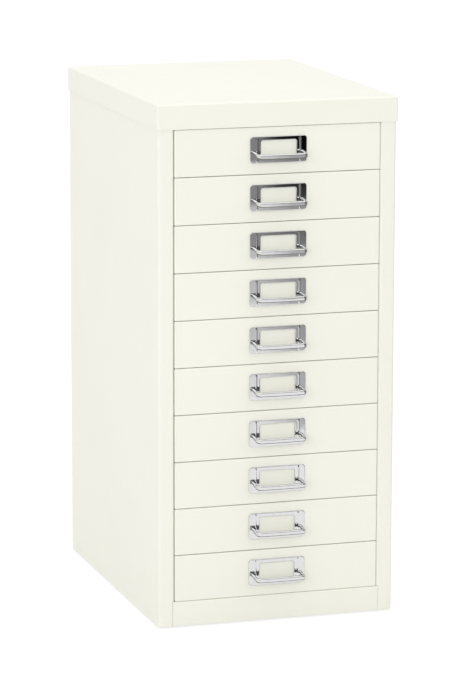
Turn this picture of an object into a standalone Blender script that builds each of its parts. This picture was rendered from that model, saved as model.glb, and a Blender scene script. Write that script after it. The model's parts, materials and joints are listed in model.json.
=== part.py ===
"""Ten-drawer steel cabinet for A4 papers, modelled piece by piece.

Metres, +Z up, drawers opening towards -Y. The origin is the middle of the footprint, pulls included,
on the surface that the feet stand on.
"""

import math

import bmesh
import bpy
from mathutils import Matrix, Vector

# Overall sizes, over the top cap and down to the floor
cabinet_width = 0.279
cabinet_depth = 0.380
cabinet_height = 0.590
drawer_count = 10

# Sheet metal and the gaps that pieces keep
shell_sheet = 0.0010
drawer_sheet = 0.0008
seat_gap = 0.0003
fold_radius = 0.0016
fold_segments = 2

# Top cap
skirt_height = 0.028
cap_edge_radius = 0.0018
cap_edge_segments = 3

# Side panels, each folded into a front stile and a rear return
stile_width = 0.0186
stile_radius = 0.0032
stile_segments = 4
stile_return = 0.011
rear_return = 0.016

# Bottom rail, let into a notch in the foot of each stile
rail_height = 0.028
rail_notch = 0.0022
rail_shelf = 0.0105
rail_lip = 0.007

# Base, back and feet
base_flange = 0.012
back_flange = 0.012
foot_height = 0.0020
foot_radius = 0.0075
foot_chamfer = 0.0005
foot_inset = 0.026
foot_stem_radius = 0.0030
foot_hole_clearance = 0.0003
foot_barb_radius = 0.0042
foot_barb_height = 0.0022
foot_sides = 14
foot_weld_share = 0.01

# Drawer fronts
front_gap = 0.0006
front_side_gap = 0.0005
front_flange = 0.010
front_edge_radius = 0.0010

# Drawer trays
tray_length = 0.351
tray_drop = 0.0040
tray_headroom = 0.0046
tray_corner_radius = 0.0024
runner_flange = 0.0080
flange_clearance = 0.0014
flange_start = 0.018
flange_end_inset = 0.006
stop_tab_height = 0.0030

# Runner panels and the posts that carry them
tray_side_clearance = 0.0013
groove_end_clearance = 0.0018
groove_headroom = 0.0037
groove_fold_segments = 1
stop_nib_drop = 0.0018
stop_nib_length = 0.0030
stop_setback = 0.060
runner_panel_setback = 0.0015
runner_panel_overhang = 0.012
post_leaf = 0.016
post_end_gap = 0.006
rear_post_setback = 0.050

# Label-holder pull: its plate, a little above the middle of the drawer front
pull_lift = 0.0007
plate_width = 0.0658
plate_height = 0.0300
plate_thickness = 0.0016
plate_corner_radius = 0.0036
plate_corner_segments = 3
plate_edge_radius = 0.0006
plate_edge_segments = 1
window_width = 0.0412
window_height = 0.0200
window_corner_radius = 0.0026
window_top_band = 0.0046
ridge_inset = 0.0079
ridge_half_width = 0.0010
ridge_half_crest = 0.0003
ridge_rise = 0.0006
card_pocket_depth = 0.0007
card_pocket_margin = 0.0022

# Label-holder pull: its lip, two arms that run out from the side bands to a deeper bar
lip_reach = 0.0180
lip_inset = 0.0032
lip_corner_radius = 0.0054
lip_corner_segments = 4
lip_inner_radius = 0.0022
lip_arm_width = 0.0034
lip_bar_width = 0.0036
lip_top_below_plate = 0.0165
lip_droop = 0.0013
lip_root_height = 0.0034
lip_bar_height = 0.0054
lip_edge_radius = 0.0011
lip_edge_segments = 2

# Label-holder pull: the two tabs that hold it on the drawer front
tab_height = 0.0050
tab_thickness = 0.0008
tab_foot = 0.0045
tab_from_plate_end = 0.0062
tab_slot_clearance = 0.0004

# Steeper folds than this many degrees are drawn sharp
sharp_angle = 30

# Overrun of a cutter past what it cuts
cut_overrun = 0.002

# Places that follow from the sizes
pull_reach = seat_gap + plate_thickness + lip_reach
shell_half_width = cabinet_width / 2 - shell_sheet - seat_gap
body_setback = shell_sheet + seat_gap
cap_front = -(cabinet_depth + pull_reach - body_setback) / 2 + pull_reach - body_setback
cap_back = cap_front + cabinet_depth
body_front = cap_front + body_setback
body_back = cap_back - body_setback
body_bottom = foot_height
body_top = cabinet_height - shell_sheet - seat_gap
inner_half_width = shell_half_width - shell_sheet
fold_inside = stile_radius - shell_sheet
opening_half_width = shell_half_width - stile_width
opening_top = cabinet_height - skirt_height
opening_bottom = body_bottom + rail_height
drawer_pitch = (opening_top - opening_bottom) / drawer_count
front_half_width = opening_half_width - front_side_gap
front_height = drawer_pitch - front_gap
flange_tip = opening_half_width - flange_clearance
tray_half_width = flange_tip - runner_flange
tray_top = front_height / 2 - tray_headroom
tray_bottom = -front_height / 2 + tray_drop
tray_front = drawer_sheet + seat_gap
tray_back = tray_front + tray_length
runner_face = tray_half_width + tray_side_clearance
groove_floor = flange_tip + groove_end_clearance
runner_front = body_front + stile_return + runner_panel_setback
runner_back = body_front + tray_back + runner_panel_overhang
back_panel_front = body_back - shell_sheet - seat_gap - shell_sheet


def clear_scene():
    """Empty the file of objects."""
    for obj in list(bpy.data.objects):
        bpy.data.objects.remove(obj, do_unlink=True)


def principled(name, colour, roughness, metallic):
    """One plain finish."""
    material = bpy.data.materials.new(name)
    material.use_nodes = True
    shader = material.node_tree.nodes["Principled BSDF"]
    shader.inputs["Base Color"].default_value = (*colour, 1.0)
    shader.inputs["Roughness"].default_value = roughness
    shader.inputs["Metallic"].default_value = metallic
    material.diffuse_color = (*colour, 1.0)
    return material


def shell_paint():
    """Off-white satin powder coat of the shell."""
    return principled("shell_paint", (0.86, 0.86, 0.77), 0.42, 0.0)


def front_paint():
    """The same powder coat on the drawer fronts."""
    return principled("front_paint", (0.87, 0.87, 0.78), 0.42, 0.0)


def tray_paint():
    """Thinner coat inside the drawers and on their runners."""
    return principled("tray_paint", (0.80, 0.80, 0.72), 0.5, 0.0)


def pull_chrome():
    """Bright chrome plate on the pulls."""
    return principled("pull_chrome", (0.72, 0.72, 0.74), 0.1, 1.0)


def foot_plastic():
    """Dark soft plastic of the feet."""
    return principled("foot_plastic", (0.03, 0.03, 0.032), 0.7, 0.0)


def object_from(name, bm):
    """Turn a bmesh into a named object."""
    bmesh.ops.recalc_face_normals(bm, faces=bm.faces)
    mesh = bpy.data.meshes.new(name)
    bm.to_mesh(mesh)
    bm.free()
    return place(name, mesh, None)


def place(name, mesh, parent):
    """Put a mesh in the scene under a name."""
    obj = bpy.data.objects.new(name, mesh)
    bpy.context.scene.collection.objects.link(obj)
    obj.parent = parent
    return obj


def settle(obj):
    """Apply the modifiers of an object to its mesh."""
    bpy.context.view_layer.update()
    graph = bpy.context.evaluated_depsgraph_get()
    mesh = bpy.data.meshes.new_from_object(obj.evaluated_get(graph))
    obj.modifiers.clear()
    obj.data = mesh


def combine(obj, tools, operation):
    """Join tools to an object, or cut it with them, and discard the tools."""
    for tool in tools:
        boolean = obj.modifiers.new(operation.lower(), "BOOLEAN")
        boolean.operation = operation
        boolean.solver = "EXACT"
        boolean.object = tool
    settle(obj)
    for tool in tools:
        bpy.data.objects.remove(tool, do_unlink=True)


def box_mesh(low, high):
    """The six faces of a box between two corners."""
    bm = bmesh.new()
    bmesh.ops.create_cube(bm, size=1.0)
    bmesh.ops.scale(bm, vec=Vector(high) - Vector(low), verts=bm.verts)
    bmesh.ops.translate(bm, vec=(Vector(low) + Vector(high)) / 2, verts=bm.verts)
    return bm


def block(name, low, high):
    """A rectangular block between two corners."""
    return object_from(name, box_mesh(low, high))


def pull_out(bm, reach):
    """Pull every face out along a vector into a solid, and give the corners that moved."""
    grown = bmesh.ops.extrude_face_region(bm, geom=bm.faces[:])
    moved = [item for item in grown["geom"] if isinstance(item, bmesh.types.BMVert)]
    bmesh.ops.translate(bm, vec=reach, verts=moved)
    return moved


def round_edges(bm, edges, radius, segments):
    """Round some edges of a mesh."""
    bmesh.ops.bevel(
        bm, geom=edges, offset=radius, segments=segments, affect="EDGES", profile=0.5, material=-1
    )


def join_rings(bm, rings):
    """Bridge rings of equally many corners, and close both ends."""
    count = len(rings[0])
    for ring, following in zip(rings, rings[1:]):
        for index in range(count):
            after = (index + 1) % count
            bm.faces.new((ring[index], ring[after], following[after], following[index]))
    bm.faces.new(rings[0])
    bm.faces.new(rings[-1])


def folded_path(points, radius, segments):
    """Follow a path of straight runs with an arc at each fold; give each point and its left normal."""
    points = [Vector(point) for point in points]
    stations = []
    for index, point in enumerate(points):
        before = (point - points[index - 1]).normalized() if index else None
        after = (points[index + 1] - point).normalized() if index + 1 < len(points) else None
        if before is None or after is None:
            run = after if before is None else before
            stations.append((point, Vector((-run.y, run.x))))
            continue
        turn = before.angle_signed(after) * -1
        reach = radius * math.tan(abs(turn) / 2)
        side = math.copysign(1, turn)
        start_normal = Vector((-before.y, before.x))
        centre = point - before * reach + start_normal * side * radius
        for step in range(segments + 1):
            normal = start_normal.copy()
            normal.rotate(Matrix.Rotation(turn * step / segments, 2))
            stations.append((centre - normal * side * radius, normal))
    return stations


def folded_sheet(name, points, sheet, radius, start, end, axis, segments=fold_segments):
    """A folded strip: a path through the sheet's middle, given thickness and pulled along an axis."""
    middle_radius = radius - sheet / 2
    bm = bmesh.new()
    rails = []
    for point, normal in folded_path(points, middle_radius, segments):
        pair = []
        for side in (sheet / 2, -sheet / 2):
            flat = point + normal * side
            if axis == "Z":
                corner = (flat.x, flat.y, start)
            elif axis == "Y":
                corner = (flat.x, start, flat.y)
            else:
                corner = (start, flat.x, flat.y)
            pair.append(bm.verts.new(corner))
        rails.append(pair)
    for (left, right), (next_left, next_right) in zip(rails, rails[1:]):
        bm.faces.new((left, next_left, next_right, right))
    way = {"X": Vector((1, 0, 0)), "Y": Vector((0, 1, 0)), "Z": Vector((0, 0, 1))}[axis]
    pull_out(bm, way * (end - start))
    return object_from(name, bm)


def pressed_pan(name, low, high, open_side, sheet, radius, segments=fold_segments):
    """A pan pressed from one sheet: a box without one side, its folds rounded, its wall turned inwards."""
    bm = box_mesh(low, high)
    bm.normal_update()
    lid = max(bm.faces, key=lambda face: face.normal.dot(Vector(open_side)))
    bmesh.ops.delete(bm, geom=[lid], context="FACES_ONLY")
    folds = [edge for edge in bm.edges if not edge.is_boundary]
    round_edges(bm, folds, radius, segments)
    pan = object_from(name, bm)
    thicken(pan, sheet)
    return pan


def thicken(obj, sheet):
    """Give a surface the thickness of its sheet, inwards."""
    wall = obj.modifiers.new("sheet", "SOLIDIFY")
    wall.thickness = sheet
    wall.offset = -1
    wall.use_even_offset = True
    wall.use_quality_normals = True
    settle(obj)


def dress(obj, name, material, parent=None):
    """Name a finished piece, give it its finish and hang it on its parent."""
    obj.name = name
    obj.data.name = name
    obj.data.materials.clear()
    obj.data.materials.append(material)
    obj.data.shade_smooth()
    obj.data.set_sharp_from_angle(angle=math.radians(sharp_angle))
    obj.parent = parent
    return obj


def top_cap(material, parent):
    """The lid of the shell, a shallow tray upside down; its front skirt is the fascia."""
    cap = pressed_pan(
        "cap",
        (-cabinet_width / 2, cap_front, cabinet_height - skirt_height),
        (cabinet_width / 2, cap_back, cabinet_height),
        (0, 0, -1),
        shell_sheet,
        cap_edge_radius,
        segments=cap_edge_segments,
    )
    return dress(cap, "top_cap", material, parent)


def side_panel(side, name, material, parent):
    """One side of the shell, folded at the front into the stile and at the back into a return."""
    half = shell_sheet / 2
    wall = side * (shell_half_width - half)
    lip = side * (opening_half_width + half)
    stile_end = body_front + stile_return
    return_end = side * (shell_half_width - rear_return)
    front_line = body_front + half
    back_line = body_back - half
    points = [(lip, stile_end), (lip, front_line), (wall, front_line), (wall, back_line)]
    points.append((return_end, back_line))
    panel = folded_sheet(
        "panel", points, shell_sheet, stile_radius, body_bottom, body_top, "Z", stile_segments
    )
    notch_edge = opening_half_width + rail_notch
    notch = block(
        "notch",
        (min(side * notch_edge, 0), body_front - cut_overrun, body_bottom - cut_overrun),
        (max(side * notch_edge, 0), stile_end + cut_overrun, opening_bottom + seat_gap),
    )
    combine(panel, [notch], "DIFFERENCE")
    return dress(panel, name, material, parent)


def bottom_rail(material, parent):
    """The rail under the lowest drawer, folded back into a shelf with a lip."""
    half = shell_sheet / 2
    face = body_front + half
    top = opening_bottom - half
    shelf_end = body_front + rail_shelf
    points = [(face, body_bottom), (face, top), (shelf_end, top), (shelf_end, top - rail_lip)]
    reach = opening_half_width + rail_notch - seat_gap
    rail = folded_sheet("rail", points, shell_sheet, fold_radius, -reach, reach, "X")
    return dress(rail, "bottom_rail", material, parent)


def back_panel(material, parent):
    """The back, inside the returns of the sides, with a flange under the cap."""
    half = shell_sheet / 2
    line = back_panel_front + half
    top = body_top - half
    points = [(line, body_bottom), (line, top), (line - back_flange, top)]
    reach = inner_half_width - fold_inside
    panel = folded_sheet("back", points, shell_sheet, fold_radius, -reach, reach, "X")
    return dress(panel, "back_panel", material, parent)


def foot_places():
    """Names and middles of the four feet."""
    across = inner_half_width - foot_inset
    front = body_front + foot_inset
    back = back_panel_front - foot_inset
    return {
        "foot_front_left": (-across, front),
        "foot_front_right": (across, front),
        "foot_rear_left": (-across, back),
        "foot_rear_right": (across, back),
    }


def base_panel(material, parent):
    """The floor of the shell, a pan with four holes for the feet."""
    reach = inner_half_width - seat_gap
    pan = pressed_pan(
        "base",
        (-reach, body_front + shell_sheet + seat_gap, body_bottom),
        (reach, back_panel_front - seat_gap, body_bottom + base_flange),
        (0, 0, 1),
        shell_sheet,
        fold_inside - seat_gap,
    )
    holes = []
    for x, y in foot_places().values():
        bm = bmesh.new()
        hole_radius = foot_stem_radius + foot_hole_clearance
        depth = shell_sheet + 2 * cut_overrun
        bmesh.ops.create_cone(
            bm, cap_ends=True, segments=foot_sides, radius1=hole_radius, radius2=hole_radius, depth=depth
        )
        bmesh.ops.translate(bm, vec=(x, y, body_bottom + shell_sheet / 2), verts=bm.verts)
        holes.append(object_from("hole", bm))
    combine(pan, holes, "DIFFERENCE")
    return dress(pan, "base_panel", material, parent)


def foot_mesh(material):
    """A push-in foot: a low disc, a stem through the base and a barb above it."""
    disc_top = foot_height - seat_gap
    barb_bottom = foot_height + shell_sheet + seat_gap
    barb_top = barb_bottom + foot_barb_height
    profile = [
        (0, barb_top),
        (foot_stem_radius, barb_top),
        (foot_barb_radius, barb_bottom),
        (foot_stem_radius, barb_bottom),
        (foot_stem_radius, disc_top),
        (foot_radius, disc_top),
        (foot_radius, foot_chamfer),
        (foot_radius - foot_chamfer, 0),
        (0, 0),
    ]
    bm = bmesh.new()
    verts = [bm.verts.new((x, 0, z)) for x, z in profile]
    edges = [bm.edges.new(pair) for pair in zip(verts, verts[1:])]
    bmesh.ops.spin(
        bm,
        geom=verts + edges,
        cent=(0, 0, 0),
        axis=(0, 0, 1),
        angle=math.tau,
        steps=foot_sides,
        use_merge=True,
    )
    bmesh.ops.remove_doubles(bm, verts=bm.verts, dist=seat_gap * foot_weld_share)
    foot = object_from("foot", bm)
    dress(foot, "foot", material)
    mesh = foot.data
    bpy.data.objects.remove(foot, do_unlink=True)
    return mesh


def feet(material, parent):
    """Four feet under the base."""
    mesh = foot_mesh(material)
    for name, (x, y) in foot_places().items():
        foot = place(name, mesh, parent)
        foot.location = (x, y, 0)


def drawer_middle(number):
    """Height of the middle of a drawer, counted from the top."""
    return opening_top - (number - 0.5) * drawer_pitch


def runner_panel(side, name, material, parent):
    """A pressed panel with one groove for each drawer's flange, and a stop nib near both groove ends."""
    half = shell_sheet / 2
    ridge = side * (runner_face + half)
    floor = side * (groove_floor + half)
    points = [(ridge, body_bottom + base_flange + seat_gap)]
    nibs = []
    for number in range(drawer_count, 0, -1):
        flange_top = drawer_middle(number) + tray_top
        shelf_top = flange_top - drawer_sheet - seat_gap
        keeper = flange_top + groove_headroom
        points.append((ridge, shelf_top - half))
        points.append((floor, shelf_top - half))
        points.append((floor, keeper + half))
        points.append((ridge, keeper + half))
        near, far = sorted((side * (runner_face + shell_sheet), side * (groove_floor + half)))
        for low_y, high_y in nib_spans():
            nibs.append(block("nib", (near, low_y, keeper - stop_nib_drop), (far, high_y, keeper + half)))
    points.append((ridge, body_top - back_flange))
    panel = folded_sheet(
        "runner",
        points,
        shell_sheet,
        fold_radius,
        runner_front,
        runner_back,
        "Y",
        groove_fold_segments,
    )
    combine(panel, nibs, "UNION")
    return dress(panel, name, material, parent)


def stop_tab_span():
    """Front and back of a tray's stop tab when its drawer is shut."""
    back = body_front + tray_back - flange_end_inset
    return back - drawer_sheet, back


def nib_spans():
    """Front and back of the nibs that stop a drawer when it is open and when it is shut."""
    open_stop = runner_front + stop_setback
    shut_stop = stop_tab_span()[1] + seat_gap
    return (open_stop - stop_nib_length, open_stop), (shut_stop, shut_stop + stop_nib_length)


def post(side, name, low_y, material, parent):
    """An upright of Z section that ties a runner panel to the side of the shell."""
    half = shell_sheet / 2
    inner = side * (groove_floor + shell_sheet + seat_gap + half)
    outer = side * (inner_half_width - seat_gap - half)
    bend = low_y + post_leaf
    points = [(inner, low_y), (inner, bend), (outer, bend), (outer, bend + post_leaf)]
    foot = body_bottom + base_flange + seat_gap
    upright = folded_sheet(
        "post", points, shell_sheet, fold_radius, foot, body_top - back_flange - post_end_gap, "Z"
    )
    return dress(upright, name, material, parent)


def runners(material, parent):
    """Both runner panels and their four posts."""
    front_post = runner_front + runner_panel_setback
    rear_post = runner_back - rear_post_setback
    for side, word in ((-1, "left"), (1, "right")):
        runner_panel(side, word + "_runner_panel", material, parent)
        post(side, word + "_front_post", front_post, material, parent)
        post(side, word + "_rear_post", rear_post, material, parent)


def tab_slots():
    """Cutters for the two slots that a pull's tabs pass through."""
    across = plate_width / 2 - tab_from_plate_end
    top = pull_lift + tab_height / 2 + tab_slot_clearance
    foot = pull_lift - tab_height / 2 - tab_slot_clearance
    wide = tab_thickness / 2 + tab_slot_clearance
    deep = tray_front + drawer_sheet + cut_overrun
    return [
        block("slot", (side * across - wide, -cut_overrun, foot), (side * across + wide, deep, top))
        for side in (-1, 1)
    ]


def front_mesh(material):
    """A drawer front: a shallow pan, its face forward, slotted for the pull."""
    pan = pressed_pan(
        "front",
        (-front_half_width, 0, -front_height / 2),
        (front_half_width, front_flange, front_height / 2),
        (0, 1, 0),
        drawer_sheet,
        front_edge_radius,
    )
    combine(pan, tab_slots(), "DIFFERENCE")
    return finished_mesh(pan, material)


def finished_mesh(obj, material):
    """Keep the mesh of a piece that is repeated, and discard the object."""
    dress(obj, obj.name, material)
    mesh = obj.data
    bpy.data.objects.remove(obj, do_unlink=True)
    return mesh


def tray_mesh(material):
    """A drawer tray: an open box whose side walls turn out into runner flanges with a stop tab behind."""
    tray = pressed_pan(
        "tray",
        (-tray_half_width, tray_front, tray_bottom),
        (tray_half_width, tray_back, tray_top),
        (0, 0, 1),
        drawer_sheet,
        tray_corner_radius,
    )
    combine(tray, [tray_flange(-1), tray_flange(1)], "UNION")
    combine(tray, tab_slots(), "DIFFERENCE")
    return finished_mesh(tray, material)


def tray_flange(side):
    """One runner flange, folded up at its back end into the stop tab."""
    half = drawer_sheet / 2
    level = tray_top - half
    tab_line = tray_back - flange_end_inset - half
    points = [(flange_start, level), (tab_line, level), (tab_line, tray_top + stop_tab_height)]
    ends = sorted((side * (tray_half_width - half), side * flange_tip))
    return folded_sheet("flange", points, drawer_sheet, fold_radius, ends[0], ends[1], "X")


def rounded_outline(width, height, radius):
    """Corner-rounded rectangle about the origin, anticlockwise."""
    segments = plate_corner_segments
    outline = []
    for quarter, (across, up) in enumerate(((1, 1), (-1, 1), (-1, -1), (1, -1))):
        centre = Vector((across * (width / 2 - radius), up * (height / 2 - radius)))
        for step in range(segments + 1):
            angle = (quarter + step / segments) * math.pi / 2
            outline.append(centre + Vector((math.cos(angle), math.sin(angle))) * radius)
    return outline


def slab(name, outline, front, back, lift=0, edge_radius=0):
    """An outline in the XZ plane pulled from front to back, its front edge rounded where asked."""
    bm = bmesh.new()
    bm.faces.new([bm.verts.new((point.x, back, point.y + lift)) for point in outline])
    moved = pull_out(bm, (0, front - back, 0))
    if edge_radius:
        rim = [edge for edge in bm.edges if all(vert in moved for vert in edge.verts)]
        round_edges(bm, rim, edge_radius, plate_edge_segments)
    return object_from(name, bm)


def lip_stations():
    """Plan of the lip from root to root: outer and inner points, each across and outwards."""
    outer = plate_width / 2 - lip_inset
    inner = outer - lip_arm_width
    bar_inside = lip_reach - lip_bar_width
    half = [((outer, 0), (inner, 0))]
    for step in range(lip_corner_segments + 1):
        angle = step / lip_corner_segments * math.pi / 2
        across = math.cos(angle) - 1
        out = math.sin(angle) - 1
        outer_point = (outer + lip_corner_radius * across, lip_reach + lip_corner_radius * out)
        inner_point = (inner + lip_inner_radius * across, bar_inside + lip_inner_radius * out)
        half.append((outer_point, inner_point))
    other = [((-wide[0], wide[1]), (-near[0], near[1])) for wide, near in half]
    return half + other[::-1]


def lip_section(outer_point, inner_point):
    """Section of the lip at one station, its outer edges rounded above and below."""
    share = outer_point[1] / lip_reach
    top = plate_height / 2 - lip_top_below_plate - lip_droop * share
    foot = top - lip_root_height - (lip_bar_height - lip_root_height) * share
    outer = Vector((outer_point[0], -outer_point[1]))
    inner = Vector((inner_point[0], -inner_point[1]))
    inward = (inner - outer).normalized() * lip_edge_radius
    roll = []
    for step in range(lip_edge_segments + 1):
        angle = step / lip_edge_segments * math.pi / 2
        roll.append((outer + inward * (1 - math.sin(angle)), lip_edge_radius * (1 - math.cos(angle))))
    upper = [(flat, top - drop) for flat, drop in roll]
    lower = [(flat, foot + drop) for flat, drop in reversed(roll)]
    corners = [(inner, top)] + upper + lower + [(inner, foot)]
    return [(flat.x, flat.y, height) for flat, height in corners]


def pull_lip():
    """The lip of the pull, lofted through its stations."""
    bm = bmesh.new()
    rings = []
    for outer_point, inner_point in lip_stations():
        sunk = plate_thickness / 2 if outer_point[1] == 0 else 0
        face = sunk - plate_thickness - seat_gap
        section = lip_section(outer_point, inner_point)
        rings.append([bm.verts.new((x, y + face, z)) for x, y, z in section])
    join_rings(bm, rings)
    return object_from("lip", bm)


def pull_tab(side):
    """One tab behind the plate, bent outwards behind the tray's front wall."""
    half = tab_thickness / 2
    across = side * (plate_width / 2 - tab_from_plate_end)
    behind = tray_front + drawer_sheet + seat_gap + half
    start = -seat_gap - plate_thickness / 2
    points = [(across, start), (across, behind), (across + side * tab_foot, behind)]
    return folded_sheet(
        "tab", points, tab_thickness, tab_thickness, -tab_height / 2, tab_height / 2, "Z"
    )


def pull_ridge(side):
    """A raised rib down one side band of the plate."""
    top = plate_height / 2 - plate_edge_radius
    middle = side * (plate_width / 2 - ridge_inset)
    front = -seat_gap - plate_thickness - ridge_rise
    root = -seat_gap - plate_thickness / 2
    plan = [
        (-ridge_half_width, root),
        (ridge_half_width, root),
        (ridge_half_crest, front),
        (-ridge_half_crest, front),
    ]
    bm = bmesh.new()
    bm.faces.new([bm.verts.new((middle + x, y, -top)) for x, y in plan])
    pull_out(bm, (0, 0, 2 * top))
    return object_from("ridge", bm)


def pull_mesh(material):
    """The label-holder pull: a windowed plate, two ribs, the lip and the tabs, in one casting."""
    front = -seat_gap - plate_thickness
    outline = rounded_outline(plate_width, plate_height, plate_corner_radius)
    plate = slab("pull", outline, front, -seat_gap, edge_radius=plate_edge_radius)
    window_lift = plate_height / 2 - window_top_band - window_height / 2
    window_outline = rounded_outline(window_width, window_height, window_corner_radius)
    window = slab("window", window_outline, front - cut_overrun, cut_overrun, lift=window_lift)
    pocket_half = window_width / 2 + card_pocket_margin
    pocket_bottom = window_lift - window_height / 2 - card_pocket_margin
    pocket = block(
        "pocket",
        (-pocket_half, -seat_gap - card_pocket_depth, pocket_bottom),
        (pocket_half, cut_overrun, plate_height / 2 + cut_overrun),
    )
    combine(plate, [window, pocket], "DIFFERENCE")
    combine(plate, [pull_ridge(-1), pull_ridge(1), pull_lip(), pull_tab(-1), pull_tab(1)], "UNION")
    return finished_mesh(plate, material)


def drawers(front_finish, tray_finish, pull_finish):
    """Ten like drawers, each on its own slide."""
    front = front_mesh(front_finish)
    tray = tray_mesh(tray_finish)
    pull = pull_mesh(pull_finish)
    for number in range(1, drawer_count + 1):
        word = "drawer_%02d" % number
        slide = bpy.data.objects.new(word + "_slide", None)
        bpy.context.scene.collection.objects.link(slide)
        slide.location = (0, body_front, drawer_middle(number))
        place(word + "_front", front, slide)
        place(word + "_tray", tray, slide)
        pull_place = place(word + "_pull", pull, slide)
        pull_place.location = (0, 0, pull_lift)


def shell(paint, runner_finish, foot_finish):
    """Everything that stands still."""
    frame = bpy.data.objects.new("cabinet", None)
    bpy.context.scene.collection.objects.link(frame)
    top_cap(paint, frame)
    side_panel(-1, "left_side_panel", paint, frame)
    side_panel(1, "right_side_panel", paint, frame)
    back_panel(paint, frame)
    base_panel(paint, frame)
    bottom_rail(paint, frame)
    runners(runner_finish, frame)
    feet(foot_finish, frame)


def build():
    """Model the whole cabinet."""
    clear_scene()
    tray_finish = tray_paint()
    shell(shell_paint(), tray_finish, foot_plastic())
    drawers(front_paint(), tray_finish, pull_chrome())


build()
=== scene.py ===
"""Looks of the ten-drawer steel cabinet: smooth pressings, satin powder coat and chrome pulls."""

import json
import math

import bmesh
import bpy
from mathutils import Matrix, Vector


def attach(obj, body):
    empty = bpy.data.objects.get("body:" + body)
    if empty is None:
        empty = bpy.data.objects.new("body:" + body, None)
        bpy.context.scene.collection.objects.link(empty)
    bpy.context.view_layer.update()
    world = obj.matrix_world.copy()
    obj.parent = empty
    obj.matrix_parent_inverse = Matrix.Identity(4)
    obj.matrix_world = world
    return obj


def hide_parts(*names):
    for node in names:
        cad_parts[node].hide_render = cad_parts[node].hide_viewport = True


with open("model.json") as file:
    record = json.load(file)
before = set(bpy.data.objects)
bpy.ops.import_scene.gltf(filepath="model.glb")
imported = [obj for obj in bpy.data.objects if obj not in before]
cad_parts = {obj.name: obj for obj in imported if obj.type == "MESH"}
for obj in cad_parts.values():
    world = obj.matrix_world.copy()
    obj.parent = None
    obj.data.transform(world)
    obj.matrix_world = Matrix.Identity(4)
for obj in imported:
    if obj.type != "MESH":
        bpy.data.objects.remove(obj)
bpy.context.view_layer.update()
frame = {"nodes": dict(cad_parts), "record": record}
nodes = frame["nodes"]

# Finishes, linear colours
SHELL_COLOUR = (0.868, 0.868, 0.774)
FRONT_COLOUR = (0.874, 0.874, 0.780)
TRAY_COLOUR = (0.820, 0.820, 0.740)
CHROME_COLOUR = (0.715, 0.715, 0.720)
# Dark chrome that paints the shade under the pull's lip and behind its bar
PAINTED_SHADE_CHROME_COLOUR = (0.17, 0.17, 0.165)
FOOT_COLOUR = (0.030, 0.030, 0.032)
COAT_ROUGHNESS = 0.36
TRAY_COAT_ROUGHNESS = 0.45
COAT_ROUGHNESS_SPREAD = 0.035
CHROME_ROUGHNESS = 0.035
PAINTED_SHADE_CHROME_ROUGHNESS = 0.22
CHROME_ROUGHNESS_SPREAD = 0.03

# Camera, fitted to the photograph's edges
CAMERA_PLACE = (-1.2108, -3.8724, 1.0812)
CAMERA_YAW = -17.3752
CAMERA_PITCH = -11.1512
CAMERA_ROLL = 0.1182
FOCAL_PIXELS = 3559.08
PHOTO_HEIGHT = 692
SENSOR = 36.0
CAMERA_REACH = 100


def set_camera():
    """The photograph's viewpoint."""
    data = bpy.data.cameras.new("camera")
    camera = bpy.data.objects.new("camera", data)
    bpy.context.scene.collection.objects.link(camera)
    turn = Matrix.Rotation(math.radians(CAMERA_YAW), 4, "Z")
    tilt = Matrix.Rotation(math.radians(90 + CAMERA_PITCH), 4, "X")
    roll = Matrix.Rotation(math.radians(CAMERA_ROLL), 4, "Z")
    camera.matrix_world = Matrix.Translation(CAMERA_PLACE) @ turn @ tilt @ roll
    data.sensor_fit = "VERTICAL"
    data.sensor_height = SENSOR
    data.lens = FOCAL_PIXELS * SENSOR / PHOTO_HEIGHT
    data.clip_end = CAMERA_REACH
    bpy.context.scene.camera = camera


class Shading:
    """A node tree being built, with short calls for its nodes and links."""

    def __init__(self, name):
        self.material = bpy.data.materials.new(name)
        self.material.use_nodes = True
        self.tree = self.material.node_tree
        self.shader = self.tree.nodes["Principled BSDF"]
        self.output = self.tree.nodes["Material Output"]
        self.place = self.tree.nodes.new("ShaderNodeTexCoord").outputs["Object"]

    def node(self, kind, inputs=None, **settings):
        """A node with its settings and inputs."""
        made = self.tree.nodes.new(kind)
        for key, value in settings.items():
            setattr(made, key, value)
        for key, value in (inputs or {}).items():
            if isinstance(value, bpy.types.NodeSocket):
                self.tree.links.new(value, made.inputs[key])
            else:
                made.inputs[key].default_value = value
        return made

    def noise(self, scale, detail=2.0):
        """Noise on the object's own coordinates."""
        inputs = {"Vector": self.place, "Scale": scale, "Detail": detail}
        return self.node("ShaderNodeTexNoise", inputs).outputs["Fac"]

    def span(self, value, low, high, from_low=0.3, from_high=0.7):
        """Map a value to a range, by default the middle of a noise."""
        inputs = {"Value": value, "From Min": from_low, "From Max": from_high}
        inputs.update({"To Min": low, "To Max": high})
        return self.node("ShaderNodeMapRange", inputs).outputs["Result"]

    def maths(self, operation, first, second):
        """One sum on two values."""
        return self.node("ShaderNodeMath", {0: first, 1: second}, operation=operation).outputs[0]

    def mix(self, factor, first, second):
        """Blend two colours."""
        made = self.node("ShaderNodeMix", data_type="RGBA")
        self.tree.links.new(factor, made.inputs[0])
        made.inputs[6].default_value = (*first, 1)
        made.inputs[7].default_value = (*second, 1)
        return made.outputs[2]

    def bump(self, height, strength, distance, under=None):
        """Raise the surface by a height."""
        inputs = {"Height": height, "Strength": strength, "Distance": distance}
        if under is not None:
            inputs["Normal"] = under
        return self.node("ShaderNodeBump", inputs).outputs["Normal"]

    def drive(self, name, value):
        """Link a value to the shader."""
        self.tree.links.new(value, self.shader.inputs[name])

    def fix(self, name, value):
        """Set a constant on the shader."""
        self.shader.inputs[name].default_value = value


def shaded(colour, share):
    """A colour with every part taken by the same share."""
    return tuple(part * share for part in colour)


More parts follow.
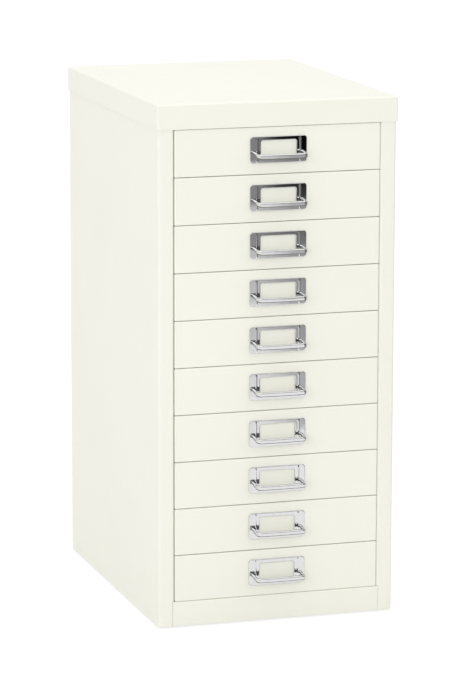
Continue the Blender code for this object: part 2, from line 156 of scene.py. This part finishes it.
def powder_coat(name, colour, roughness=COAT_ROUGHNESS):
    """Baked powder coat: faint orange peel, barely uneven gloss and shade."""
    made = Shading(name)
    patches = made.span(made.noise(scale=6.0, detail=3.0), 0.0, 1.0)
    made.drive("Base Color", made.mix(patches, shaded(colour, 0.988), shaded(colour, 1.006)))
    cloudy = made.noise(scale=38.0, detail=4.0)
    spread = COAT_ROUGHNESS_SPREAD
    made.drive("Roughness", made.span(cloudy, roughness - spread, roughness + spread))
    peel = made.bump(made.noise(scale=620.0), strength=0.22, distance=0.00003)
    fine = made.noise(scale=2400.0, detail=1.0)
    made.drive("Normal", made.bump(fine, strength=0.12, distance=0.00001, under=peel))
    made.fix("IOR", 1.48)
    made.fix("Specular IOR Level", 0.42)
    return made.material


def chrome(name, colour, roughness=CHROME_ROUGHNESS):
    """Bright plate: mirror gloss with faint ripples and a little haze."""
    made = Shading(name)
    haze = made.span(made.noise(scale=210.0, detail=4.0), 0.0, 1.0)
    made.drive("Base Color", made.mix(haze, shaded(colour, 0.94), colour))
    smears = made.noise(scale=420.0, detail=3.0)
    made.drive("Roughness", made.span(smears, roughness, roughness + CHROME_ROUGHNESS_SPREAD))
    ripple = made.noise(scale=120.0, detail=1.0)
    made.drive("Normal", made.bump(ripple, strength=0.2, distance=0.00003))
    made.fix("Metallic", 1.0)
    return made.material


def soft_plastic(name, colour):
    """Matt plastic of the feet."""
    made = Shading(name)
    speckle = made.span(made.noise(scale=900.0), 0.0, 1.0)
    made.drive("Base Color", made.mix(speckle, shaded(colour, 0.8), colour))
    made.drive("Roughness", made.span(made.noise(scale=500.0), 0.6, 0.75))
    grain = made.noise(scale=1400.0)
    made.drive("Normal", made.bump(grain, strength=0.3, distance=0.00003))
    return made.material


FINISHES = {
    "shell_paint": powder_coat("shell_powder_coat", SHELL_COLOUR),
    "front_paint": powder_coat("front_powder_coat", FRONT_COLOUR),
    "tray_paint": powder_coat("tray_powder_coat", TRAY_COLOUR, TRAY_COAT_ROUGHNESS),
    "pull_chrome": chrome("pull_plate", CHROME_COLOUR),
    "foot_plastic": soft_plastic("foot_compound", FOOT_COLOUR),
}
# Dark chrome for the painted shade under the pull's lip and behind its bar
PAINTED_SHADE_PLATE = chrome("pull_plate_painted_shade", PAINTED_SHADE_CHROME_COLOUR, PAINTED_SHADE_CHROME_ROUGHNESS)


def dress_nodes():
    """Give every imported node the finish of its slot."""
    for part in frame["record"]["subparts"]:
        obj = nodes[part["node"]]
        obj.data.materials.clear()
        obj.data.materials.append(FINISHES[part["material_slot"]])


# Label-holder pull in its drawer's own frame: x across, y into the drawer, z up from its middle
FRONT_LINE = -0.1794
OPENING_TOP = 0.562
DRAWER_PITCH = 0.0532
DRAWER_COUNT = 10
SEAT_GAP = 0.0003
PLATE_WIDTH = 0.0658
PLATE_HEIGHT = 0.0300
PLATE_THICKNESS = 0.0016
PLATE_CORNER = 0.0036
PLATE_EDGE = 0.0007
PLATE_BACK_EDGE = 0.0002
WINDOW_WIDTH = 0.0412
WINDOW_HEIGHT = 0.0200
WINDOW_CORNER = 0.0026
WINDOW_TOP_BAND = 0.0046
RIDGE_INSET = 0.0079
RIDGE_HALF_WIDTH = 0.0010
RIDGE_RISE = 0.0004
RIDGE_RUN_OUT = 0.0022
DISH_ACROSS = 0.00045
DISH_DOWN = 0.00032
PULL_LIFT = 0.0007
LIP_REACH = 0.0180
LIP_INSET = 0.0032
LIP_CORNER = 0.0054
LIP_INNER_CORNER = 0.0022
LIP_ARM_WIDTH = 0.0034
LIP_BAR_WIDTH = 0.0036
LIP_BELOW_TOP = 0.0165
LIP_DROOP = 0.0013
LIP_ROOT_HEIGHT = 0.0034
LIP_BAR_HEIGHT = 0.0054
LIP_TOP_EDGE = 0.0016
LIP_FOOT_EDGE = 0.0011
LIP_INNER_EDGE = 0.0004
LIP_LEAN = 0.0003
LIP_BOW = 0.0004
LIP_OVAL_SHARE = 0.495
LIP_SHOULDER_SHARE = 0.50
TAB_HEIGHT = 0.0050
TAB_THICKNESS = 0.0008
TAB_FOOT = 0.0045
TAB_FROM_END = 0.0062
TAB_BEHIND = 0.0026

# How finely the pull's curves are stepped
LOOP_LONG_STEPS = 130
LOOP_SHORT_STEPS = 54
LOOP_ARC_STEPS = 8
PLATE_EDGE_STEPS = 4
PLATE_FACE_STEPS = 30
LIP_ARM_STEPS = 5
LIP_BEND_STEPS = 16
LIP_BAR_STEPS = 8
LIP_SECTION_STEPS = 8
TAB_BEND_STEPS = 6

# Points closer than this are one
WELD_REACH = 0.00000001

# Steps of the lip's section given painted shade: dark chrome standing in for the shade under the
# lip and behind the bar, counted from its outer side over the top
ARM_PAINTED_SHADE_STEPS = (0, *range(16, 36))
BEND_PAINTED_SHADE_STEPS = range(18, 34)
BAR_PAINTED_SHADE_STEPS = range(13, 34)
BEND_SHARE = 0.3

# How strongly the big faces level the shading round them
LEVEL_FACE_WEIGHT = 70


def steps(count):
    """Shares from nought to one."""
    return [step / count for step in range(count + 1)]


def rounded_loop(width, height, radius, lift=0.0):
    """Points round a corner-rounded rectangle, the same number for every size."""
    corners = []
    for quarter, (across, up) in enumerate(((1, 1), (-1, 1), (-1, -1), (1, -1))):
        centre = Vector((across * (width / 2 - radius), up * (height / 2 - radius) + lift))
        arc = []
        for share in steps(LOOP_ARC_STEPS):
            angle = (quarter + share) * math.pi / 2
            arc.append(centre + Vector((math.cos(angle), math.sin(angle))) * radius)
        corners.append(arc)
    loop = []
    for quarter, arc in enumerate(corners):
        loop += arc
        following = corners[(quarter + 1) % 4][0]
        count = LOOP_SHORT_STEPS if quarter % 2 else LOOP_LONG_STEPS
        loop += [arc[-1].lerp(following, share) for share in steps(count)[1:-1]]
    return loop


def swell(x, z):
    """How far the plate's face stands out: slightly dished, with a rib down each band."""
    across, down = 2 * x / PLATE_WIDTH, 2 * min(z, 0.0) / PLATE_HEIGHT
    level = -DISH_ACROSS * across**2 - DISH_DOWN * down**2
    off = (abs(x) - (PLATE_WIDTH / 2 - RIDGE_INSET)) / RIDGE_HALF_WIDTH
    from_end = (PLATE_HEIGHT / 2 - PLATE_EDGE - abs(z)) / RIDGE_RUN_OUT
    if abs(off) < 1 and from_end > 0:
        fade = (1 - math.cos(min(from_end, 1.0) * math.pi)) / 2
        level += RIDGE_RISE * fade * (math.cos(off * math.pi) + 1) / 2
    return level


def loft(bm, rings):
    """Extrude a ring of edges through rings of points; give its courses of edges and its faces."""
    corners = [bm.verts.new(point) for point in rings[0]]
    courses = [[bm.edges.new(ends) for ends in zip(corners[1:] + corners[:1], corners)]]
    strips = []
    for points in rings[1:]:
        grown = bmesh.ops.extrude_edge_only(bm, edges=courses[-1])["geom"]
        strips.append([item for item in grown if isinstance(item, bmesh.types.BMFace)])
        moved = {item for item in grown if isinstance(item, bmesh.types.BMVert)}
        for place, (corner, point) in enumerate(zip(corners, points)):
            ends = [edge.other_vert(corner) for edge in corner.link_edges]
            corners[place] = next(end for end in ends if end in moved)
            corners[place].co = point
        courses.append([bm.edges.get(ends) for ends in zip(corners, corners[1:] + corners[:1])])
    return courses, strips


def add_plate(bm):
    """The windowed plate, lofted from its back over its edge and face into the window."""
    front = -SEAT_GAP - PLATE_THICKNESS
    back = -SEAT_GAP
    edge = PLATE_EDGE
    window_lift = PLATE_HEIGHT / 2 - WINDOW_TOP_BAND - WINDOW_HEIGHT / 2

    def outer(inset):
        return rounded_loop(PLATE_WIDTH - 2 * inset, PLATE_HEIGHT - 2 * inset, PLATE_CORNER - inset)

    def inner(outset):
        width, height = WINDOW_WIDTH + 2 * outset, WINDOW_HEIGHT + 2 * outset
        return rounded_loop(width, height, WINDOW_CORNER + outset, window_lift)

    def edge_levels(loop, shares):
        turns = [share * math.pi / 2 for share in shares]
        return [
            (loop(edge * (1 - math.cos(turn))), front + edge * (1 - math.sin(turn)), True)
            for turn in turns
        ]

    rim, hole = outer(edge), inner(edge)
    levels = [(outer(0.0), back, False), (outer(0.0), back - PLATE_BACK_EDGE, False)]
    levels += edge_levels(outer, steps(PLATE_EDGE_STEPS))
    for share in steps(PLATE_FACE_STEPS)[1:-1]:
        levels.append(([near.lerp(far, share) for near, far in zip(rim, hole)], front, True))
    levels += edge_levels(inner, reversed(steps(PLATE_EDGE_STEPS)))
    levels += [(inner(0.0), back - PLATE_BACK_EDGE, False), (inner(0.0), back, False)]
    rings = []
    for loop, level, swelled in levels:
        rise = swell if swelled else lambda x, z: 0.0
        rings.append([(p.x, level - rise(p.x, p.y), p.y) for p in loop])
    loft(bm, rings + rings[:1])
    bmesh.ops.remove_doubles(bm, verts=bm.verts, dist=WELD_REACH)


def lip_plan():
    """Plan of the lip from root to root: outer and inner point, 0 on an arm to 1 on the bar."""
    outer = PLATE_WIDTH / 2 - LIP_INSET
    inner = outer - LIP_ARM_WIDTH
    bar_front = LIP_REACH - LIP_BOW
    bar_back = bar_front - LIP_BAR_WIDTH
    sink = -PLATE_THICKNESS / 2
    half = [((outer, sink), (inner, sink), 0.0)]
    for share in steps(LIP_ARM_STEPS)[:-1]:
        outer_out = share * (bar_front - LIP_CORNER)
        inner_out = share * (bar_back - LIP_INNER_CORNER)
        half.append(((outer, outer_out), (inner, inner_out), 0.0))
    for share in steps(LIP_BEND_STEPS):
        across = math.cos(share * math.pi / 2) - 1
        out = math.sin(share * math.pi / 2) - 1
        outer_point = (outer + LIP_CORNER * across, bar_front + LIP_CORNER * out)
        inner_point = (inner + LIP_INNER_CORNER * across, bar_back + LIP_INNER_CORNER * out)
        half.append((outer_point, inner_point, share))
    (wide, out), (near, behind), _ = half[-1]
    for share in steps(LIP_BAR_STEPS)[1:-1]:
        bow = LIP_BOW * (1 - (1 - share) ** 2)
        left = 1 - share
        half.append(((wide * left, out + bow), (near * left, behind + bow), 1.0))
    return half + [((-a, b), (-c, d), bar) for (a, b), (c, d), bar in reversed(half)]


def lip_outline(wide, tall, bar):
    """Section of the lip from its inner side and its foot: an oval arm, a flat-faced bar."""
    oval = wide * LIP_OVAL_SHARE
    foot_share = 2 * LIP_OVAL_SHARE - LIP_SHOULDER_SHARE
    corners = (
        (wide, tall, LIP_TOP_EDGE, LIP_SHOULDER_SHARE),
        (0.0, tall, LIP_INNER_EDGE, LIP_SHOULDER_SHARE),
        (0.0, 0.0, LIP_INNER_EDGE, foot_share),
        (wide - LIP_LEAN * bar, 0.0, LIP_FOOT_EDGE, foot_share),
    )
    points = []
    for quarter, (across, up, edge, shoulder) in enumerate(corners):
        wide_radius = oval + (edge - oval) * bar
        tall_radius = tall * shoulder + (edge - tall * shoulder) * bar
        inward = 1 if quarter in (1, 2) else -1
        downward = -1 if quarter in (0, 1) else 1
        for share in steps(LIP_SECTION_STEPS):
            angle = (quarter + share) * math.pi / 2
            flat = across + wide_radius * (inward + math.cos(angle))
            points.append((flat, up + tall_radius * (downward + math.sin(angle))))
    return points


def add_lip(bm):
    """The lip lofted along its plan, with painted shade, a dark chrome, underneath and behind the
    bar.
    """
    plan = lip_plan()
    rings = []
    for outer_point, inner_point, bar in plan:
        share = max(outer_point[1], 0.0) / LIP_REACH
        tall = LIP_ROOT_HEIGHT + (LIP_BAR_HEIGHT - LIP_ROOT_HEIGHT) * share
        foot = PLATE_HEIGHT / 2 - LIP_BELOW_TOP - LIP_DROOP * share - tall
        outer = Vector((outer_point[0], -outer_point[1]))
        inner = Vector((inner_point[0], -inner_point[1]))
        outward = (outer - inner).normalized()
        points = []
        for across, up in lip_outline((outer - inner).length, tall, bar):
            flat = inner + outward * across
            points.append((flat.x, flat.y - PLATE_THICKNESS - SEAT_GAP, foot + up))
        rings.append(points)
    courses, strips = loft(bm, rings)
    # Faces under the lip and behind the bar get the dark chrome: painted shade
    for course, strip, (_, _, bar), (_, _, next_bar) in zip(courses, strips, plan, plan[1:]):
        if max(bar, next_bar) == 0:
            painted_shade_steps = ARM_PAINTED_SHADE_STEPS
        else:
            painted_shade_steps = BAR_PAINTED_SHADE_STEPS if min(bar, next_bar) > BEND_SHARE else BEND_PAINTED_SHADE_STEPS
        for step in painted_shade_steps:
            for face in course[step].link_faces:
                if face in strip:
                    face.material_index = 1
    bmesh.ops.edgeloop_fill(bm, edges=courses[0] + courses[-1])


def add_tab(bm, side):
    """One tab behind the plate, bent outwards at its end."""
    half = TAB_THICKNESS / 2
    across = PLATE_WIDTH / 2 - TAB_FROM_END
    start = -SEAT_GAP - PLATE_THICKNESS / 2
    bend = TAB_BEHIND - half
    outline = [(across - half, start), (across + half, start), (across + half, bend)]
    outline += [(across + TAB_FOOT, bend), (across + TAB_FOOT, TAB_BEHIND + half)]
    for share in steps(TAB_BEND_STEPS):
        angle = share * math.pi / 2
        round_point = (
            across + half - math.sin(angle) * TAB_THICKNESS,
            bend + math.cos(angle) * TAB_THICKNESS,
        )
        outline.append(round_point)
    profile = bm.faces.new([bm.verts.new((side * x, y, -TAB_HEIGHT / 2)) for x, y in outline])
    grown = bmesh.ops.extrude_face_region(bm, geom=[profile])
    moved = [item for item in grown["geom"] if isinstance(item, bmesh.types.BMVert)]
    bmesh.ops.translate(bm, vec=(0, 0, TAB_HEIGHT), verts=moved)


def pull_form():
    """The label-holder pull round the middle of its drawer's front."""
    bm = bmesh.new()
    add_plate(bm)
    add_lip(bm)
    add_tab(bm, -1)
    add_tab(bm, 1)
    bmesh.ops.recalc_face_normals(bm, faces=bm.faces)
    return bm


def add_pulls():
    """A smooth pull on every drawer in place of the plain one."""
    form = pull_form()
    for number in range(1, DRAWER_COUNT + 1):
        word = "drawer_%02d" % number
        middle = OPENING_TOP - (number - 0.5) * DRAWER_PITCH + PULL_LIFT
        bm = form.copy()
        bmesh.ops.translate(bm, vec=(0, FRONT_LINE, middle), verts=bm.verts)
        mesh = bpy.data.meshes.new(word + "_pull_smooth")
        bm.to_mesh(mesh)
        bm.free()
        mesh.shade_smooth()
        pull = bpy.data.objects.new(word + "_pull_smooth", mesh)
        bpy.context.scene.collection.objects.link(pull)
        mesh.materials.append(FINISHES["pull_chrome"])
        # Second slot: the dark chrome of the painted shade
        mesh.materials.append(PAINTED_SHADE_PLATE)
        level = pull.modifiers.new("level faces", "WEIGHTED_NORMAL")
        level.weight = LEVEL_FACE_WEIGHT
        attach(pull, word)
        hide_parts(word + "_pull")
    form.free()


# Studio: the paper under the cabinet
PAPER_SIDE = 28.0
PAPER_BOUNCE = 0.72
PAPER_SHOWN = 0.30
PAPER_GLOW = 0.76

# Even light from all round, and the lamps: place, point aimed at, size and power
ROOM_LIGHT = 0.975
LAMPS = {
    "top_box": ((-0.3, -0.4, 2.6), (0, 0, 0.3), (2.4, 2.4), 7.5),
    "front_box": ((-1.85, -2.9, 0.9), (0, 0, 0.3), (2.0, 1.6), 21.6),
}

# Panels that only the chrome mirrors, and how strongly they shine
PANEL_GLOWS = {"dark_wall": 0.03, "grey_flag": 0.24, "bright_ceiling": 1.3, "soft_box_face": 2.0}

# Their sheets with panel, size and middle: the level ones, then the upright ones with a turn
LEVEL_SHEETS = (
    ("front_floor", "studio_floor", (11.0, 5.6), (0.5, -3.9, 0.002)),
    ("right_floor", "studio_floor", (4.0, 3.0), (2.95, 0.4, 0.002)),
    ("ceiling", "bright_ceiling", (6.0, 5.0), (0, -0.6, 3.2)),
)
UPRIGHT_SHEETS = (
    ("front_wall", "dark_wall", (11.0, 1.15), (0.5, -4.82, 0.575), 0),
    ("tall_wall", "dark_wall", (3.2, 1.9), (2.5, -4.77, 0.95), 0),
    ("grey_flag", "grey_flag", (1.7, 1.3), (0.58, -0.2, 0.65), 90),
    ("side_wall", "dark_wall", (6.5, 1.6), (1.9, -1.2, 0.8), 90),
    ("front_panel", "soft_box_face", (2.4, 1.8), (-1.38, -4.7, 1.85), 0),
)

# Shades of the mirrored floor: share of light left, and where it starts and ends to darken,
# forwards in metres, sideways as a share of forwards, and to the right in metres
FLOOR_AHEAD = ((0.70, 1.41, 1.85), (0.46, 2.29, 2.68), (0.10, 4.33, 4.66))
FLOOR_ASIDE = (0.58, 0.24, 0.345)
FLOOR_RIGHT = (0.06, 1.01, 1.38)

# The dark far corner: where it starts and is full, forwards and sideways, and how dark it is
CORNER_AHEAD = (2.90, 3.23)
CORNER_ASIDE = (0.260, 0.313)
CORNER_DEPTH = 0.80


def plane(name, size, place, stand=Matrix()):
    """A sheet that belongs to the studio, turned and then moved to its place."""
    bm = bmesh.new()
    bmesh.ops.create_grid(bm, x_segments=1, y_segments=1, size=0.5)
    bmesh.ops.scale(bm, vec=(*size, 1.0), verts=bm.verts)
    bmesh.ops.transform(bm, matrix=Matrix.Translation(place) @ stand, verts=bm.verts)
    mesh = bpy.data.meshes.new(name)
    bm.to_mesh(mesh)
    bm.free()
    sheet = bpy.data.objects.new(name, mesh)
    bpy.context.scene.collection.objects.link(sheet)
    return sheet


def grey(level):
    """A neutral colour with its alpha."""
    return (level, level, level, 1.0)


def stage_shading(name):
    """A node tree for the studio, without the usual shader."""
    made = Shading(name)
    made.tree.nodes.remove(made.shader)
    return made


def paper_shading():
    """White paper: white to the camera and in mirrors, with the cabinet's shadow kept."""
    made = stage_shading("sweep_paper")
    bounce = made.node("ShaderNodeBsdfDiffuse", {"Color": grey(PAPER_BOUNCE)})
    shown = made.node("ShaderNodeBsdfDiffuse", {"Color": grey(PAPER_SHOWN)})
    glow = made.node("ShaderNodeEmission", {"Strength": PAPER_GLOW})
    both = made.node("ShaderNodeAddShader", {0: shown.outputs[0], 1: glow.outputs[0]})
    rays = made.node("ShaderNodeLightPath").outputs
    seen = made.maths("MAXIMUM", rays["Is Camera Ray"], rays["Is Glossy Ray"])
    seen = made.maths("MAXIMUM", seen, rays["Is Transmission Ray"])
    inputs = {0: seen, 1: bounce.outputs[0], 2: both.outputs[0]}
    choice = made.node("ShaderNodeMixShader", inputs)
    made.tree.links.new(choice.outputs[0], made.output.inputs["Surface"])
    return made.material


def room_glow(made, strength):
    """Shine by a strength for the chrome, and like the open room for light on the paint."""
    depth = made.node("ShaderNodeLightPath").outputs["Diffuse Depth"]
    onward = made.maths("MINIMUM", depth, 1.0)
    level = made.node("ShaderNodeMix", {0: onward, 2: strength, 3: ROOM_LIGHT}, data_type="FLOAT")
    glow = made.node("ShaderNodeEmission", {"Strength": level.outputs[0]})
    made.tree.links.new(glow.outputs[0], made.output.inputs["Surface"])
    return made.material


def floor_shading():
    """The mirrored floor: greyer further off and to the right, with a dark far corner."""
    made = stage_shading("studio_floor")
    split = made.node("ShaderNodeSeparateXYZ", {"Vector": made.place})
    right = split.outputs["X"]
    ahead = made.maths("MULTIPLY", split.outputs["Y"], -1.0)
    aside = made.maths("DIVIDE", right, ahead)
    beyond = made.span(ahead, 0.0, 1.0, *CORNER_AHEAD)
    corner = made.span(aside, 0.0, CORNER_DEPTH, *CORNER_ASIDE)
    shade = made.maths("SUBTRACT", 1.0, made.maths("MULTIPLY", beyond, corner))
    fades = [(ahead, *fade) for fade in FLOOR_AHEAD]
    fades += [(aside, *FLOOR_ASIDE), (right, *FLOOR_RIGHT)]
    for way, left, start, end in fades:
        shade = made.maths("MULTIPLY", shade, made.span(way, 1.0, left, start, end))
    return room_glow(made, shade)


def mirrored_only(sheet, material):
    """Let only the chrome mirror a sheet."""
    sheet.data.materials.append(material)
    sheet.visible_camera = False
    sheet.visible_diffuse = False
    sheet.visible_shadow = False


def set_floor():
    """Paper under the cabinet, and the room that only the chrome mirrors."""
    paper = plane("sweep", (PAPER_SIDE, PAPER_SIDE), (0, 0, 0))
    paper.data.materials.append(paper_shading())
    panels = {"studio_floor": floor_shading()}
    for name, strength in PANEL_GLOWS.items():
        panels[name] = room_glow(stage_shading(name), strength)
    for name, panel, size, place in LEVEL_SHEETS:
        mirrored_only(plane(name, size, place), panels[panel])
    upright = Matrix.Rotation(math.radians(90), 4, "X")
    for name, panel, size, place, turn in UPRIGHT_SHEETS:
        stand = Matrix.Rotation(math.radians(turn), 4, "Z") @ upright
        mirrored_only(plane(name, size, place, stand), panels[panel])


def set_world():
    """Even studio light from all round."""
    world = bpy.data.worlds.new("studio")
    bpy.context.scene.world = world
    world.use_nodes = True
    backdrop = world.node_tree.nodes["Background"]
    backdrop.inputs["Color"].default_value = grey(1.0)
    backdrop.inputs["Strength"].default_value = ROOM_LIGHT


def set_lights():
    """Soft boxes over the cabinet and in front of it, which no mirror shows."""
    for name, (place, aim, size, power) in LAMPS.items():
        data = bpy.data.lights.new(name, "AREA")
        data.shape = "RECTANGLE"
        data.size, data.size_y = size
        data.energy = power
        lamp = bpy.data.objects.new(name, data)
        bpy.context.scene.collection.objects.link(lamp)
        lamp.location = place
        toward = Vector(aim) - Vector(place)
        lamp.rotation_euler = toward.to_track_quat("-Z", "Y").to_euler()
        lamp.visible_glossy = False


bpy.context.scene.view_settings.view_transform = "Standard"
set_camera()
dress_nodes()
add_pulls()
set_floor()
set_world()
set_lights()
